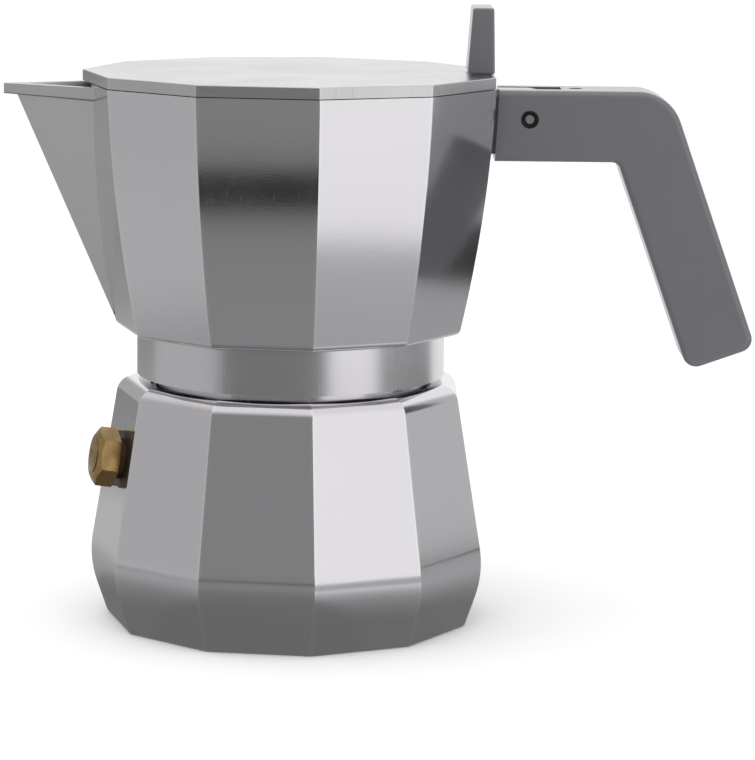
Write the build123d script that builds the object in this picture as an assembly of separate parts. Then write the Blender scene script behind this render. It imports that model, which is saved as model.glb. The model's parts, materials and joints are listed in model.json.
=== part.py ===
from build123d import *
from math import atan, cos, degrees, pi, radians, sin
import os

# A faceted stove-top coffee maker: boiler below, screwed to it an upper chamber with
# spout, handle and hinged lid.  Millimetres, +Z up.  The origin is on the boiler's axis at
# the height of the surface it stands on; +X points to the handle, -X to the spout.

# ---- The many-sided form ------------------------------------------------------------
SIDES = 11
CORNER_TURN = 180.0            # direction of the corner under the spout, degrees
EDGE_SOFTENING = 0.35          # radius on the upright edges between facets
TO_FLAT = cos(pi / SIDES)      # distance to a facet over distance to a corner
HALF_SIDE_ANGLE = 180.0 / SIDES

# ---- Boiler (radii to the corners unless the name says bore) --------------------------
BASE_R = 45.1
BELLY_R = 49.9                 # where the two slopes would meet
BELLY_Z = 13.8
BELLY_ROUND = 26.0
BELLY_SAG = 1.0                # the rounded belly stays this far inside that meeting point
BASE_ROUND = 1.2
SHOULDER_R = 42.16             # where the wall would meet the shoulder
SHOULDER_Z = 59.9
SHOULDER_ROUND = 4.5
BOILER_WALL = 2.6
BOILER_FLOOR = 3.2
INSIDE_FLOOR_ROUND = 3.0
INSIDE_BELLY_ROUND = 13.0
INSIDE_SHOULDER_ROUND = 2.0
NECK_BORE = 30.4
NECK_BORE_ROUND = 1.0
NECK_R = 33.2                  # root of the neck's thread
NECK_HEIGHT = 8.7
THREAD_DEPTH = 0.9             # the neck and the collar are screwed together
THREAD_CLEARANCE = 0.4

# ---- Gaps and fits ------------------------------------------------------------------
SEAT_GAP = 0.05                # between pieces that rest on each other but can part
RUNNING_FIT = 0.05             # radial, between a shaft and the hole it turns in
PRESS_GAP = 0.01               # radial, between pieces pushed together for good
SLIP_GAP = 0.3                 # between pieces that slide past each other
CUT = 1.0                      # how far a cut runs past the face that it opens

# ---- Funnel, gasket and filter --------------------------------------------------------
SHEET = 0.8                    # thickness of the pressed parts
FUNNEL_RIM_R = 33.0
FUNNEL_RIM_THICK = 1.0
FUNNEL_DEPTH = 19.0
FUNNEL_CONE = 4.0
FUNNEL_SOCKET = 5.0            # length of the spigot that holds the tube
TUBE_R = 5.0
TUBE_WALL = 0.9
TUBE_OFF_FLOOR = 4.0
GASKET_THICK = 2.9
GASKET_INNER_R = 26.8
GASKET_R = 33.6
GASKET_EDGE = 0.4
FILTER_R = 33.2
FILTER_DISH = 1.4
HOLE_R = 0.8                   # perforations in both plates
HOLE_STEP = 4.3
HOLE_RINGS = 5

# ---- Upper chamber --------------------------------------------------------------------
COLLAR_GAP = 1.3               # shadow line between boiler and collar
COLLAR_R = 37.75
COLLAR_HEIGHT = 11.0
CHAMBER_BOTTOM_R = 42.8        # to the corners, at the underside
CHAMBER_MID_R = 48.38
CHAMBER_MID = 0.5              # share of the height at which that radius is reached
CHAMBER_TOP_R = 51.1
CHAMBER_HEIGHT = 59.85         # underside to rim
CHAMBER_ROUND = 2.0
CHAMBER_WALL = 2.4
CHAMBER_FLOOR = 3.1
FLOOR_RISE = 4.6               # the floor climbs to the column like a low cone
COLUMN_SEAT_R = 9.5
CUP_R = 28.0                   # hollow above the filter that gathers the coffee

# ---- Coffee column --------------------------------------------------------------------
COLUMN_SPIGOT_R = 6.0
COLUMN_FOOT_R = 9.0
COLUMN_TOP_R = 5.6
COLUMN_BORE = 3.6
COLUMN_HEIGHT = 34.0
COLUMN_FOOT = 1.0              # upright edge of the foot
COLUMN_FLARE = 1.5             # how far the foot stands out from the taper
COLUMN_ROOF = 3.0              # height of the coned top, closed over the bore
COLUMN_CROWN = 2.0             # how far the cone draws in
OUTLET_BELOW_ROOF = 1.0
OUTLET_R = 3.0

# ---- Spout ----------------------------------------------------------------------------
SPOUT_HALF_WIDTH = 12.0        # at the rim, on the chamber wall
SPOUT_REACH = 68.1             # axis to the front edge, at the rim
SPOUT_DROP = 0.7               # spout rim below chamber rim
SPOUT_SIDE_WALL = 2.1          # measured across, at the rim
SPOUT_NOSE_WALL = 3.6          # measured along, at the front edge
SPOUT_POINT = 0.004            # size of the wedge at its foot over its size at the top
SPOUT_CHANNEL_DEPTH = 43.0
SPOUT_CHANNEL_RISE = 4.0       # the cut runs this far past the rim
LIP_HEIGHT = 3.0               # at the chamber wall
LIP_TAPER = 0.7                # lower by this at the front edge
LIP_REACH = 3.3                # how far the lip's point stands past the front edge
LIP_ROUND = 1.1

# ---- Lid ------------------------------------------------------------------------------
LID_R = 51.0
LID_THICK = 2.7
LID_GAP = 0.2                  # shadow line between the rim and the lid
LID_EDGE = 0.25
ARM_WIDTH = 6.4
ARM_DROP = 0.9                 # arm's top below the underside of the plate
ARM_THICK = 3.0
ARM_ROOT = 13.0                # how far the arm runs in under the plate
ARM_SIDE_GAP = 0.5
ARM_SLOPE = 2.0                # run of the slanted ends under the plate
ARM_CROOK_X = 2.0              # where the arm starts to dip, past the edge of the plate
ARM_CROOK_DROP = 0.6           # share of the knuckle at which its underside ends
ARM_IN_PLATE = 0.5

# ---- Hinge ----------------------------------------------------------------------------
HINGE_X = 57.4
HINGE_BELOW_RIM = 7.5
HINGE_PIN_R = 1.3
HINGE_PIN_SUNK = 0.5           # pin's ends below the handle's cheeks
HINGE_PIN_CHAMFER = 0.25
HINGE_EYE = 2.0                # radius of the open eye around the pin in the handle

# ---- Handle ---------------------------------------------------------------------------
HANDLE_WIDTH = 18.0
HANDLE_BELOW_RIM = 0.55        # top of the handle under the chamber rim
HANDLE_BAR = 17.2              # height of the level part
HANDLE_GAP = 1.0               # clear of the chamber wall
HANDLE_FRONT_LEAN = 0.9        # the front edge follows the wall
HANDLE_KNEE_X = 91.3           # where the top line and the grip's back line would meet
HANDLE_KNEE_ROUND = 11.0
GRIP_LEAN = 19.7               # degrees off upright
GRIP_WIDTH = 17.5
GRIP_LENGTH = 65.9             # along the back line, from the knee
GRIP_THROAT_ROUND = 2.0
GRIP_TOE_ROUND = 3.4
GRIP_HEEL_ROUND = 3.3
HANDLE_SOFTENING = 1.5
HANDLE_ROOF = 2.1              # plastic above the bracket

# ---- Bracket that carries the handle ----------------------------------------------------
CHEEK_THICK = 2.0
WEB_THICK = 1.6
WEB_ABOVE_HANDLE = 1.6
WING_THICK = 1.6               # the part of the bracket behind the chamber wall
WING_HALF_WIDTH = 17.0
BRACKET_TAIL_X = 66.0
BRACKET_END_X = 73.0
BRACKET_SLIP = 0.2
SLOT_END_X = 65.2
WALL_PIN_R = 1.5
WALL_PIN_ALONG = 12.1          # from the middle of its facet towards the handle
WALL_PIN_BELOW_RIM = 6.1
WALL_PIN_LENGTH = 6.8
HANDLE_SCREW_X = 68.8
HANDLE_SCREW_R = 1.25
HANDLE_SCREW_HEAD_R = 1.5
HANDLE_SCREW_HEAD = 1.0
HANDLE_SCREW_SOCKET_R = 0.75

# ---- Knob -----------------------------------------------------------------------------
KNOB_WIDTH = 18.0
KNOB_FOOT_THICK = 6.6
KNOB_TOP_THICK = 5.1
KNOB_HEIGHT = 15.8
KNOB_SHADOW = 0.4              # height of the narrow foot
KNOB_FOOT_INSET = 0.8
KNOB_BACK_INSET = 0.1          # behind the edge of the lid
KNOB_SOFTENING = 0.6
KNOB_SCREW_SPREAD = 6.2
KNOB_SCREW_R = 1.4
KNOB_SCREW_HEAD_R = 2.5
KNOB_SCREW_LENGTH = 9.0
KNOB_SCREW_SLOT = 0.6          # width of the driver's slot
KNOB_SCREW_SLOT_DEPTH = 0.5

# ---- Safety valve -----------------------------------------------------------------------
VALVE_Z = 41.2
POCKET_DEPTH = 0.8
POCKET_HEIGHT = 13.6
POCKET_TURN = 9.0              # of the pocket about the valve, degrees
POCKET_BACK = 7.4              # from the valve to the pocket's closed end
POCKET_BREAK = 0.15            # past the corner, so that the other end is open
VALVE_BOSS_R = 7.0
VALVE_BOSS = 5.2
VALVE_WASHER_R = 4.9
VALVE_WASHER = 1.7
HEX_FLATS = 12.5
HEX_TURN = 42.0                # of the hexagon about its own axis, degrees
HEX_THICK = 5.2
HEX_CHAMFER = 1.2
SHANK_R = 4.0
SHANK_LENGTH = 8.2
VALVE_BORE = 2.8
VALVE_INLET = 1.5
VALVE_SEAT_IN = 1.2            # seat below the pocket floor
CAP_FOOT_R = 5.3               # of the hexagon's turned face
CAP_R = 4.2
CAP_EDGE = 0.2                 # upright edge of the cap
CAP_HEIGHT = 0.5
CAP_TOP_R = 2.6                # where the dome meets the sink round the stem
CAP_PLUG = 1.0                 # part of the cap that closes the bore
CAP_SINK_R = 1.9
STEM_R = 1.1
STEM_SUNK = 0.3
STEM_ROUND = 0.25
POPPET_THICK = 1.6
SPRING_WIRE = 0.25
SPRING_TURNS = 4

# ---- Heights and radii that follow ------------------------------------------------------
NECK_TOP = SHOULDER_Z + NECK_HEIGHT
FUNNEL_TOP = NECK_TOP + SEAT_GAP + FUNNEL_RIM_THICK
GASKET_BOTTOM = FUNNEL_TOP + SEAT_GAP
GASKET_TOP = GASKET_BOTTOM + GASKET_THICK
CEILING_Z = GASKET_TOP + SHEET + SEAT_GAP
COLLAR_BOTTOM = SHOULDER_Z + COLLAR_GAP
CHAMBER_BOTTOM = COLLAR_BOTTOM + COLLAR_HEIGHT
RIM_Z = CHAMBER_BOTTOM + CHAMBER_HEIGHT
FLOOR_Z = CEILING_Z + CHAMBER_FLOOR
COLUMN_SEAT_Z = FLOOR_Z + FLOOR_RISE
LID_Z = RIM_Z + LID_GAP
LID_TOP = LID_Z + LID_THICK
LID_FLAT = LID_R * TO_FLAT
THREAD_BORE = NECK_R + THREAD_DEPTH + THREAD_CLEARANCE
GASKET_BORE = GASKET_R + SLIP_GAP
HINGE_Z = RIM_Z - HINGE_BELOW_RIM
WALL_PIN_Z = RIM_Z - WALL_PIN_BELOW_RIM
HANDLE_TOP = RIM_Z - HANDLE_BELOW_RIM
HANDLE_UNDER = HANDLE_TOP - HANDLE_BAR
ARM_TOP = LID_Z - ARM_DROP
KNUCKLE_R = ARM_TOP - HINGE_Z
CHEEK_IN = ARM_WIDTH / 2 + ARM_SIDE_GAP
CHEEK_OUT = CHEEK_IN + CHEEK_THICK
WEB_Z = HANDLE_UNDER + WEB_ABOVE_HANDLE
CHEEK_TOP = HANDLE_TOP - HANDLE_ROOF
SPOUT_TOP = RIM_Z - SPOUT_DROP
REACH = 72.0                   # past the bodies and the spout, for cutting them at an angle


def revolved(points):
    """A solid turned about the axis from a closed outline of (radius, height) points."""
    return revolve(Plane.XZ * make_face(Polyline(points, close=True)), Axis.Z)


def disc(radius, low, high, centre=(0, 0)):
    """A plain upright cylinder between two heights."""
    place = Pos(centre[0], centre[1], low)
    return place * Cylinder(radius, high - low, align=(Align.CENTER, Align.CENTER, Align.MIN))


def block(low, high):
    """A box from its lowest corner to its highest corner."""
    size = [b - a for a, b in zip(low, high)]
    middle = [(a + b) / 2 for a, b in zip(low, high)]
    return Pos(*middle) * Box(*size)


def cross_pin(x, z, radius, half_length):
    """A cylinder lying along Y."""
    return Pos(x, 0, z) * Rot(90, 0, 0) * Cylinder(radius, 2 * half_length)


def faceted(side_line, low, high):
    """The many-sided solid whose facets all follow one upright side line."""
    start, end = side_line.start_point(), side_line.end_point()
    back = Polyline([(end.X, high), (-REACH, high), (-REACH, low), (start.X, low)])
    slab = extrude(Plane.XZ * make_face(side_line + back), REACH, both=True)
    whole = Rot(0, 0, CORNER_TURN + HALF_SIDE_ANGLE) * slab
    for side in range(1, SIDES):
        turn = CORNER_TURN + HALF_SIDE_ANGLE + 2 * HALF_SIDE_ANGLE * side
        whole = whole & (Rot(0, 0, turn) * slab)
    return whole


def softened(solid, low, high):
    """Rounds the upright edges between facets."""
    def upright(edge):
        box = edge.bounding_box()
        return box.size.Z > EDGE_SOFTENING and box.min.Z > low and box.max.Z < high
    return fillet(solid.edges().filter_by(upright), EDGE_SOFTENING)


def boiler_outline():
    """Upright side line of one boiler facet, from the base to the shoulder."""
    corners = [(BASE_R, 0), (BELLY_R, BELLY_Z), (SHOULDER_R, SHOULDER_Z)]
    points = [(0, 0)] + [(r * TO_FLAT, z) for r, z in corners] + [(0, SHOULDER_Z)]
    return FilletPolyline(points, radius=[BASE_ROUND, BELLY_ROUND, SHOULDER_ROUND])


def boiler_form():
    return faceted(boiler_outline(), 0, SHOULDER_Z)


def boiler_cavity():
    """The round water space inside, open through the neck."""
    belly = BELLY_R * TO_FLAT - BOILER_WALL - BELLY_SAG
    shoulder = SHOULDER_R * TO_FLAT - BOILER_WALL
    under = SHOULDER_Z - BOILER_WALL
    line = FilletPolyline(
        [(0, BOILER_FLOOR), (BASE_R * TO_FLAT - BOILER_WALL, BOILER_FLOOR),
         (belly, BELLY_Z), (shoulder, under - SHOULDER_ROUND / 2), (NECK_BORE, under),
         (NECK_BORE, NECK_TOP + CUT)],
        radius=[INSIDE_FLOOR_ROUND, INSIDE_BELLY_ROUND, INSIDE_SHOULDER_ROUND, NECK_BORE_ROUND])
    close = Polyline([(NECK_BORE, NECK_TOP + CUT), (0, NECK_TOP + CUT), (0, BOILER_FLOOR)])
    return revolve(Plane.XZ * make_face(line + close), Axis.Z)


def valve_place():
    """Frame on the pocket floor: X along the facet, Z straight out of the wall."""
    slope = (BELLY_R - SHOULDER_R) * TO_FLAT / (SHOULDER_Z - BELLY_Z)
    flat = SHOULDER_R * TO_FLAT + slope * (SHOULDER_Z - VALVE_Z)
    turn = radians(CORNER_TURN + HALF_SIDE_ANGLE)
    lean = atan(slope)
    out = Vector(cos(lean) * cos(turn), cos(lean) * sin(turn), sin(lean))
    along = Vector(-sin(turn), cos(turn), 0)
    on_wall = Vector(flat * cos(turn), flat * sin(turn), VALVE_Z)
    return Plane(origin=on_wall - out * POCKET_DEPTH, x_dir=along, z_dir=out)


def pocket_form(corner_half):
    """Flat-bottomed pocket round the valve, open where the facet ends."""
    reach = POCKET_BACK + 2 * corner_half
    pocket = Rot(0, 0, POCKET_TURN) * Pos(reach / 2 - POCKET_BACK, 0, POCKET_HEIGHT / 2) * Box(
        reach, POCKET_HEIGHT, POCKET_HEIGHT)
    taper = degrees(atan((BELLY_R - SHOULDER_R) * sin(pi / SIDES) / (SHOULDER_Z - BELLY_Z)))
    facet = Rot(0, 0, taper) * Pos(corner_half + POCKET_BREAK - reach, 0, 0) * Box(
        2 * reach, 2 * reach, 2 * reach)
    return pocket & facet


def make_boiler():
    slope = (BELLY_R - SHOULDER_R) / (SHOULDER_Z - BELLY_Z)
    corner_half = (SHOULDER_R + slope * (SHOULDER_Z - VALVE_Z)) * sin(pi / SIDES)
    place = valve_place()
    body = softened(boiler_form(), BASE_ROUND / 4, SHOULDER_Z - PRESS_GAP)
    body += disc(NECK_R, SHOULDER_Z - CUT, NECK_TOP)
    cavity = boiler_cavity()
    boss = place * Pos(0, 0, -VALVE_BOSS / 2) * Cylinder(VALVE_BOSS_R, VALVE_BOSS)
    cavity -= boss
    body -= cavity
    body -= place * pocket_form(corner_half)
    body -= place * Cylinder(SHANK_R + PRESS_GAP, 4 * SHANK_LENGTH)
    return body


def make_valve_washer():
    place = valve_place()
    ring = Cylinder(VALVE_WASHER_R, VALVE_WASHER) - Cylinder(SHANK_R + PRESS_GAP, 2 * VALVE_WASHER)
    return place * Pos(0, 0, VALVE_WASHER / 2) * ring


def make_valve_body():
    """Hexagonal body, screwed through the wall, bored for the poppet and spring."""
    top = VALVE_WASHER + HEX_THICK
    hexagon = RegularPolygon(HEX_FLATS / 2, 6, major_radius=False, rotation=HEX_TURN)
    body = Pos(0, 0, VALVE_WASHER) * extrude(hexagon, HEX_THICK)
    corner = HEX_FLATS / 2 / cos(pi / 6)
    trim = revolved([(0, VALVE_WASHER), (corner, VALVE_WASHER), (corner, top - HEX_CHAMFER),
                     (CAP_FOOT_R, top), (0, top)])
    body = body & trim
    body += Pos(0, 0, -SHANK_LENGTH) * Cylinder(
        SHANK_R, SHANK_LENGTH + VALVE_WASHER, align=(Align.CENTER, Align.CENTER, Align.MIN))
    body -= disc(VALVE_BORE, -VALVE_SEAT_IN, top + CUT)
    body -= disc(VALVE_INLET, -SHANK_LENGTH - CUT, top)
    return valve_place() * body


def make_valve_cap():
    """Cap pressed into the hexagon, sunk in the middle, where the stem passes through it."""
    low = VALVE_WASHER + HEX_THICK
    top = low + CAP_HEIGHT
    plug = VALVE_BORE - PRESS_GAP
    sink = STEM_R + RUNNING_FIT
    cap = revolved([(sink, low - CAP_PLUG), (plug, low - CAP_PLUG), (plug, low), (CAP_R, low),
                    (CAP_R, low + CAP_EDGE), (CAP_TOP_R, top), (CAP_SINK_R, top), (sink, low)])
    return valve_place() * cap


def make_valve_stem():
    """Poppet on its seat with the stem that shows in the sink of the cap."""
    seat = -VALVE_SEAT_IN + SEAT_GAP
    top = VALVE_WASHER + HEX_THICK + CAP_HEIGHT - STEM_SUNK
    stem = disc(VALVE_BORE - SLIP_GAP, seat, seat + POPPET_THICK)
    stem += disc(STEM_R, seat, top)
    stem = fillet(stem.edges().group_by(Axis.Z)[-1], STEM_ROUND)
    return valve_place() * stem


def make_valve_spring():
    low = -VALVE_SEAT_IN + SEAT_GAP + POPPET_THICK + SPRING_WIRE + SEAT_GAP
    high = VALVE_WASHER + HEX_THICK - CAP_PLUG - SPRING_WIRE - SEAT_GAP
    coil_r = (STEM_R + VALVE_BORE) / 2
    path = Helix((high - low) / SPRING_TURNS, high - low, coil_r)
    wire = sweep(Plane(path @ 0, z_dir=path % 0) * Circle(SPRING_WIRE), path)
    return valve_place() * Pos(0, 0, low) * wire


def perforations(thick, z):
    """Rings of small holes, six more in each ring than in the one inside it."""
    holes = Circle(HOLE_R)
    for ring in range(1, HOLE_RINGS + 1):
        holes += PolarLocations(ring * HOLE_STEP, 6 * ring) * Circle(HOLE_R)
    return Pos(0, 0, z - thick) * extrude(holes, 3 * thick)


def funnel_levels():
    """Height of the bowl's foot, of the cone's foot and of the spigot's end."""
    foot = FUNNEL_TOP - FUNNEL_DEPTH
    cone = foot - FUNNEL_CONE
    return foot, cone, cone - FUNNEL_SOCKET


def make_funnel_bowl():
    """Coffee basket: flanged rim, straight bowl, cone and the spigot for the tube."""
    foot, cone, end = funnel_levels()
    outer = NECK_BORE - SLIP_GAP
    inner = outer - SHEET
    socket = TUBE_R + PRESS_GAP
    low = FUNNEL_TOP - FUNNEL_RIM_THICK
    return revolved([
        (inner, FUNNEL_TOP), (FUNNEL_RIM_R, FUNNEL_TOP), (FUNNEL_RIM_R, low), (outer, low),
        (outer, foot), (socket + SHEET, cone), (socket + SHEET, end), (socket, end),
        (socket, cone + SHEET), (inner, foot + SHEET)])


def make_funnel_tube():
    cone = funnel_levels()[1]
    low = BOILER_FLOOR + TUBE_OFF_FLOOR
    top = cone + SHEET
    return disc(TUBE_R, low, top) - disc(TUBE_R - TUBE_WALL, low - CUT, top + CUT)


def make_funnel_plate():
    """Perforated plate that carries the ground coffee, resting on the foot of the bowl."""
    foot = funnel_levels()[0]
    low = foot + SHEET + PRESS_GAP
    plate = disc(NECK_BORE - SLIP_GAP - SHEET - PRESS_GAP, low, low + SHEET)
    return plate - perforations(SHEET, low)


def make_gasket():
    ring = disc(GASKET_R, GASKET_BOTTOM, GASKET_TOP)
    ring -= disc(GASKET_INNER_R, GASKET_BOTTOM - CUT, GASKET_TOP + CUT)
    return fillet(ring.edges(), GASKET_EDGE)


def make_filter_plate():
    """Perforated plate over the coffee; its rim lies on the gasket, its middle hangs in it."""
    wall = GASKET_INNER_R - SLIP_GAP
    floor = GASKET_TOP - FILTER_DISH
    plate = revolved([
        (0, floor), (wall, floor), (wall, GASKET_TOP), (FILTER_R, GASKET_TOP),
        (FILTER_R, GASKET_TOP + SHEET), (wall - SHEET, GASKET_TOP + SHEET),
        (wall - SHEET, floor + SHEET), (0, floor + SHEET)])
    return plate - perforations(SHEET, floor)


def chamber_outline():
    """Upright side line of one chamber facet, from the underside to the rim."""
    middle = CHAMBER_BOTTOM + CHAMBER_HEIGHT * CHAMBER_MID
    return ThreePointArc((CHAMBER_BOTTOM_R * TO_FLAT, CHAMBER_BOTTOM),
                         (CHAMBER_MID_R * TO_FLAT, middle), (CHAMBER_TOP_R * TO_FLAT, RIM_Z))


def wall_flat(z):
    """Distance from the axis to a chamber facet at one height."""
    line = chamber_outline()
    low, high = 0.0, 1.0
    for _ in range(30):
        middle = (low + high) / 2
        if (line @ middle).Y < z:
            low = middle
        else:
            high = middle
    return (line @ low).X


def chamber_form():
    """The outside of the upper chamber, filled."""
    form = faceted(chamber_outline(), CHAMBER_BOTTOM, RIM_Z)
    return fillet(form.edges().group_by(Axis.Z)[0], CHAMBER_ROUND)


def chamber_cavity():
    top = RIM_Z + CUT
    wall_low = wall_flat(FLOOR_Z) - CHAMBER_WALL
    middle = (FLOOR_Z + RIM_Z) / 2
    wall_mid = wall_flat(middle) - CHAMBER_WALL
    wall_top = wall_flat(RIM_Z) - CHAMBER_WALL
    arc = ThreePointArc((wall_low, FLOOR_Z), (wall_mid, middle), (wall_top, RIM_Z))
    rest = Polyline([(wall_top, RIM_Z), (wall_top, top), (0, top), (0, COLUMN_SEAT_Z),
                     (COLUMN_SEAT_R, COLUMN_SEAT_Z), (wall_low, FLOOR_Z)])
    return revolve(Plane.XZ * make_face(arc + rest), Axis.Z)


def v_points(reach, half_width):
    """A V seen from above, its arms carried on well inside the chamber."""
    carried = 1.5
    run = carried * (reach - wall_flat(SPOUT_TOP))
    return [(-reach, 0)] + [(run - reach, side * carried * half_width) for side in (-1, 1)]


def v_pyramid(reach, half_width, top, foot_x, foot_z):
    """A V-shaped wedge: widest at the top, coming to a point at the foot."""
    wide = v_points(reach, half_width)
    small = [(foot_x + SPOUT_POINT * (x + reach), SPOUT_POINT * y) for x, y in wide]
    base = Pos(0, 0, top) * make_face(Polyline(wide, close=True))
    foot = Pos(0, 0, foot_z) * make_face(Polyline(small, close=True))
    return loft([foot, base], ruled=True)


def spout_channel():
    """The open V that the coffee runs through, cut in the wall and in the spout."""
    half = SPOUT_HALF_WIDTH - SPOUT_SIDE_WALL
    reach = SPOUT_REACH - SPOUT_NOSE_WALL
    grow = SPOUT_CHANNEL_RISE / SPOUT_CHANNEL_DEPTH
    foot_z = SPOUT_TOP - SPOUT_CHANNEL_DEPTH
    foot_x = CUT - wall_flat(foot_z)
    return v_pyramid(reach + (reach + foot_x) * grow, half * (1 + grow),
                     SPOUT_TOP + SPOUT_CHANNEL_RISE, foot_x, foot_z)


def make_spout(form):
    foot_z = CHAMBER_BOTTOM + CHAMBER_ROUND
    foot_x = -wall_flat(foot_z) / TO_FLAT
    shell = v_pyramid(SPOUT_REACH, SPOUT_HALF_WIDTH, SPOUT_TOP, foot_x, foot_z)
    outline = Polyline(v_points(SPOUT_REACH + LIP_REACH, SPOUT_HALF_WIDTH), close=True)
    lip = Pos(0, 0, SPOUT_TOP - LIP_HEIGHT) * extrude(make_face(outline), LIP_HEIGHT)
    lip = fillet(lip.edges().filter_by(Axis.Z).sort_by(Axis.X)[0], LIP_ROUND)
    low = SPOUT_TOP - LIP_HEIGHT
    under = Polyline([(-wall_flat(low), low), (-REACH - LIP_REACH, low + LIP_TAPER),
                      (-REACH - LIP_REACH, low - CUT), (-wall_flat(low), low - CUT)], close=True)
    lip -= extrude(Plane.XZ * make_face(under), REACH, both=True)
    spout = shell + lip
    spout -= spout_channel()
    spout -= form
    return max(spout.solids(), key=lambda piece: piece.volume)


def bracket_window():
    """Opening through the chamber wall for the bracket, and above it for the lid's arm."""
    side = CHEEK_OUT + BRACKET_SLIP
    low = WEB_Z - BRACKET_SLIP
    inside = wall_flat(low) - 2 * CHAMBER_WALL
    window = block((inside, -side, low), (REACH, side, CHEEK_TOP + BRACKET_SLIP))
    return window + block((inside, -CHEEK_IN, low), (REACH, CHEEK_IN, RIM_Z + CUT))


def make_chamber(form):
    body = softened(form, CHAMBER_BOTTOM + PRESS_GAP, RIM_Z + CUT)
    body += disc(COLLAR_R, COLLAR_BOTTOM, CHAMBER_BOTTOM + CUT)
    body -= chamber_cavity()
    body -= disc(THREAD_BORE, COLLAR_BOTTOM - CUT, FUNNEL_TOP)
    body -= disc(GASKET_BORE, FUNNEL_TOP - CUT, CEILING_Z)
    body -= revolved([(0, CEILING_Z - CUT), (CUP_R, CEILING_Z - CUT), (CUP_R, CEILING_Z),
                      (COLUMN_SPIGOT_R, CEILING_Z + FLOOR_RISE), (0, CEILING_Z + FLOOR_RISE)])
    body -= disc(COLUMN_SPIGOT_R + PRESS_GAP, CEILING_Z, COLUMN_SEAT_Z + CUT)
    body -= spout_channel()
    body -= bracket_window()
    for place in wall_pin_places():
        body -= place * Cylinder(WALL_PIN_R + PRESS_GAP, 4 * WALL_PIN_LENGTH)
    return body


def make_coffee_column():
    """Tapered column: coffee climbs the bore and leaves by two side outlets under the top."""
    foot = CEILING_Z + FLOOR_RISE
    seat = COLUMN_SEAT_Z + PRESS_GAP
    top = COLUMN_SEAT_Z + COLUMN_HEIGHT
    column = revolved([
        (0, foot), (COLUMN_SPIGOT_R, foot), (COLUMN_SPIGOT_R, seat), (COLUMN_FOOT_R, seat),
        (COLUMN_FOOT_R, seat + COLUMN_FOOT),
        (COLUMN_FOOT_R - COLUMN_FLARE, seat + COLUMN_FOOT + COLUMN_FLARE),
        (COLUMN_TOP_R, top - COLUMN_ROOF), (COLUMN_TOP_R - COLUMN_CROWN, top), (0, top)])
    column -= disc(COLUMN_BORE, foot - CUT, top - COLUMN_ROOF)
    outlet_z = top - COLUMN_ROOF - OUTLET_R - OUTLET_BELOW_ROOF
    return column - cross_pin(0, outlet_z, OUTLET_R, COLUMN_FOOT_R)


def arm_outline():
    """Side view of the lid's arm: level under the plate, then round the hinge pin."""
    under = ARM_TOP - ARM_THICK
    root = LID_FLAT - ARM_ROOT
    plate = LID_Z + ARM_IN_PLATE
    bar = Polyline([(root, plate), (root + ARM_SLOPE, under), (LID_FLAT + ARM_CROOK_X, under),
                    (HINGE_X, HINGE_Z - KNUCKLE_R * ARM_CROOK_DROP), (HINGE_X, ARM_TOP),
                    (LID_FLAT, ARM_TOP), (LID_FLAT - ARM_IN_PLATE, plate)], close=True)
    return make_face(bar) + Pos(HINGE_X, HINGE_Z) * Circle(KNUCKLE_R)


def make_lid():
    plate = extrude(RegularPolygon(LID_R, SIDES, rotation=CORNER_TURN), LID_THICK)
    plate = fillet(plate.edges().group_by(Axis.Z)[-1], LID_EDGE)
    lid = Pos(0, 0, LID_Z) * plate
    lid += extrude(Plane.XZ * arm_outline(), ARM_WIDTH / 2, both=True)
    lid -= cross_pin(HINGE_X, HINGE_Z, HINGE_PIN_R + RUNNING_FIT, ARM_WIDTH)
    for place in knob_screw_places():
        lid -= place * knob_screw_form(PRESS_GAP)
    return lid


def knob_middle():
    """X of the knob's middle plane at its foot."""
    return LID_FLAT - KNOB_BACK_INSET - KNOB_FOOT_THICK / 2


def knob_screw_places():
    return [Pos(knob_middle(), side * KNOB_SCREW_SPREAD, LID_Z) for side in (-1, 1)]


def knob_screw_form(grow):
    """Countersunk screw pointing up, its head flush with the underside of the lid."""
    head, shank = KNOB_SCREW_HEAD_R + grow, KNOB_SCREW_R + grow
    depth = KNOB_SCREW_HEAD_R - KNOB_SCREW_R
    return revolved([(0, 0), (head, 0), (shank, depth), (shank, KNOB_SCREW_LENGTH),
                     (0, KNOB_SCREW_LENGTH)])


def make_knob_screws():
    slot = Box(2 * KNOB_SCREW_HEAD_R + CUT, KNOB_SCREW_SLOT, 2 * KNOB_SCREW_SLOT_DEPTH)
    screw = knob_screw_form(0) - slot
    return Compound(children=[place * screw for place in knob_screw_places()])


def make_knob():
    """Thumb piece standing on the lid at the hinge side, on a slightly narrower foot."""
    back = LID_FLAT - KNOB_BACK_INSET
    low = LID_TOP + KNOB_SHADOW
    top = LID_TOP + KNOB_HEIGHT + KNOB_SHADOW
    lean = (KNOB_FOOT_THICK - KNOB_TOP_THICK) / 2
    foot = Pos(back - KNOB_FOOT_THICK / 2, 0, low) * Rectangle(KNOB_FOOT_THICK, KNOB_WIDTH)
    head = Pos(back - KNOB_FOOT_THICK / 2 + lean / 2, 0, top) * Rectangle(KNOB_TOP_THICK,
                                                                         KNOB_WIDTH - lean)
    knob = fillet(loft([foot, head]).edges(), KNOB_SOFTENING)
    inset = KNOB_FOOT_INSET
    knob += block((back - KNOB_FOOT_THICK + inset, inset - KNOB_WIDTH / 2, LID_TOP + PRESS_GAP),
                  (back - inset, KNOB_WIDTH / 2 - inset, low + CUT))
    for place in knob_screw_places():
        knob -= place * Cylinder(KNOB_SCREW_R + PRESS_GAP, 2 * KNOB_SCREW_LENGTH + CUT)
    return knob


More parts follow.
